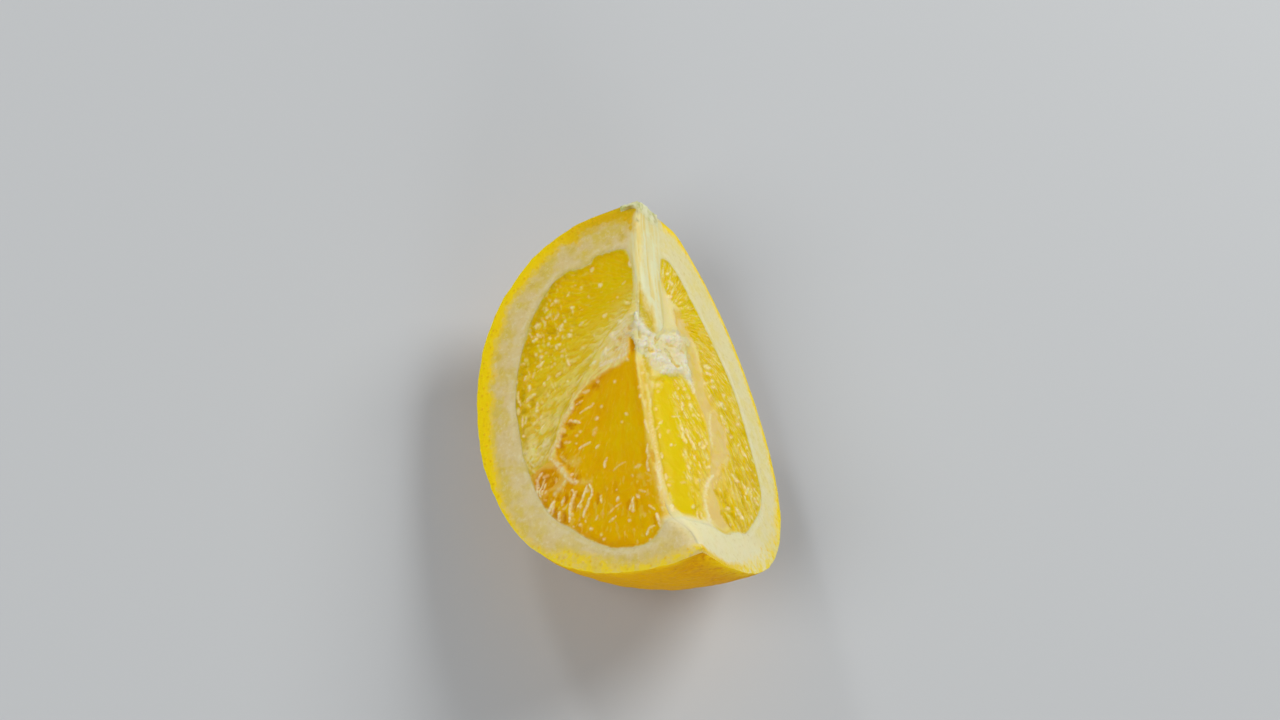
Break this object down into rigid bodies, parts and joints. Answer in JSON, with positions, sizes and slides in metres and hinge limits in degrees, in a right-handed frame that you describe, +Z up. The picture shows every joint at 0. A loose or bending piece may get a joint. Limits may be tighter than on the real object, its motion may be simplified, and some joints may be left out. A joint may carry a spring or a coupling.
{
  "type": "orange wedge",
  "caption": "Wedge of a fresh orange with its peel: two wet cut faces meet at a ridge, over a rounded rind that it rests on.",
  "frame": {"origin": "bottom centre of the wedge's bounding box, on the surface that it rests on", "axes": "+Y along the fruit's core towards the stem end, +Z up: the two cut faces look up and to the sides, -X side flat and +X side hollowed along the ridge"},
  "size_m": [0.0542, 0.0706, 0.0401],
  "materials": {
    "peel": "waxy orange peel with fine pores, satin",
    "pith": "soft cream pith, matt, with a thin yellow edge where the peel is cut",
    "pulp": "wet orange-yellow pulp of small juice cells, glossy",
    "membrane": "moist pale membranes and white fibres of the core, satin",
    "stem_button": "pale green dried stem button, matt"
  },
  "bodies": {
    "root": {"orange_wedge": "peel"}
  },
  "joints": []
}
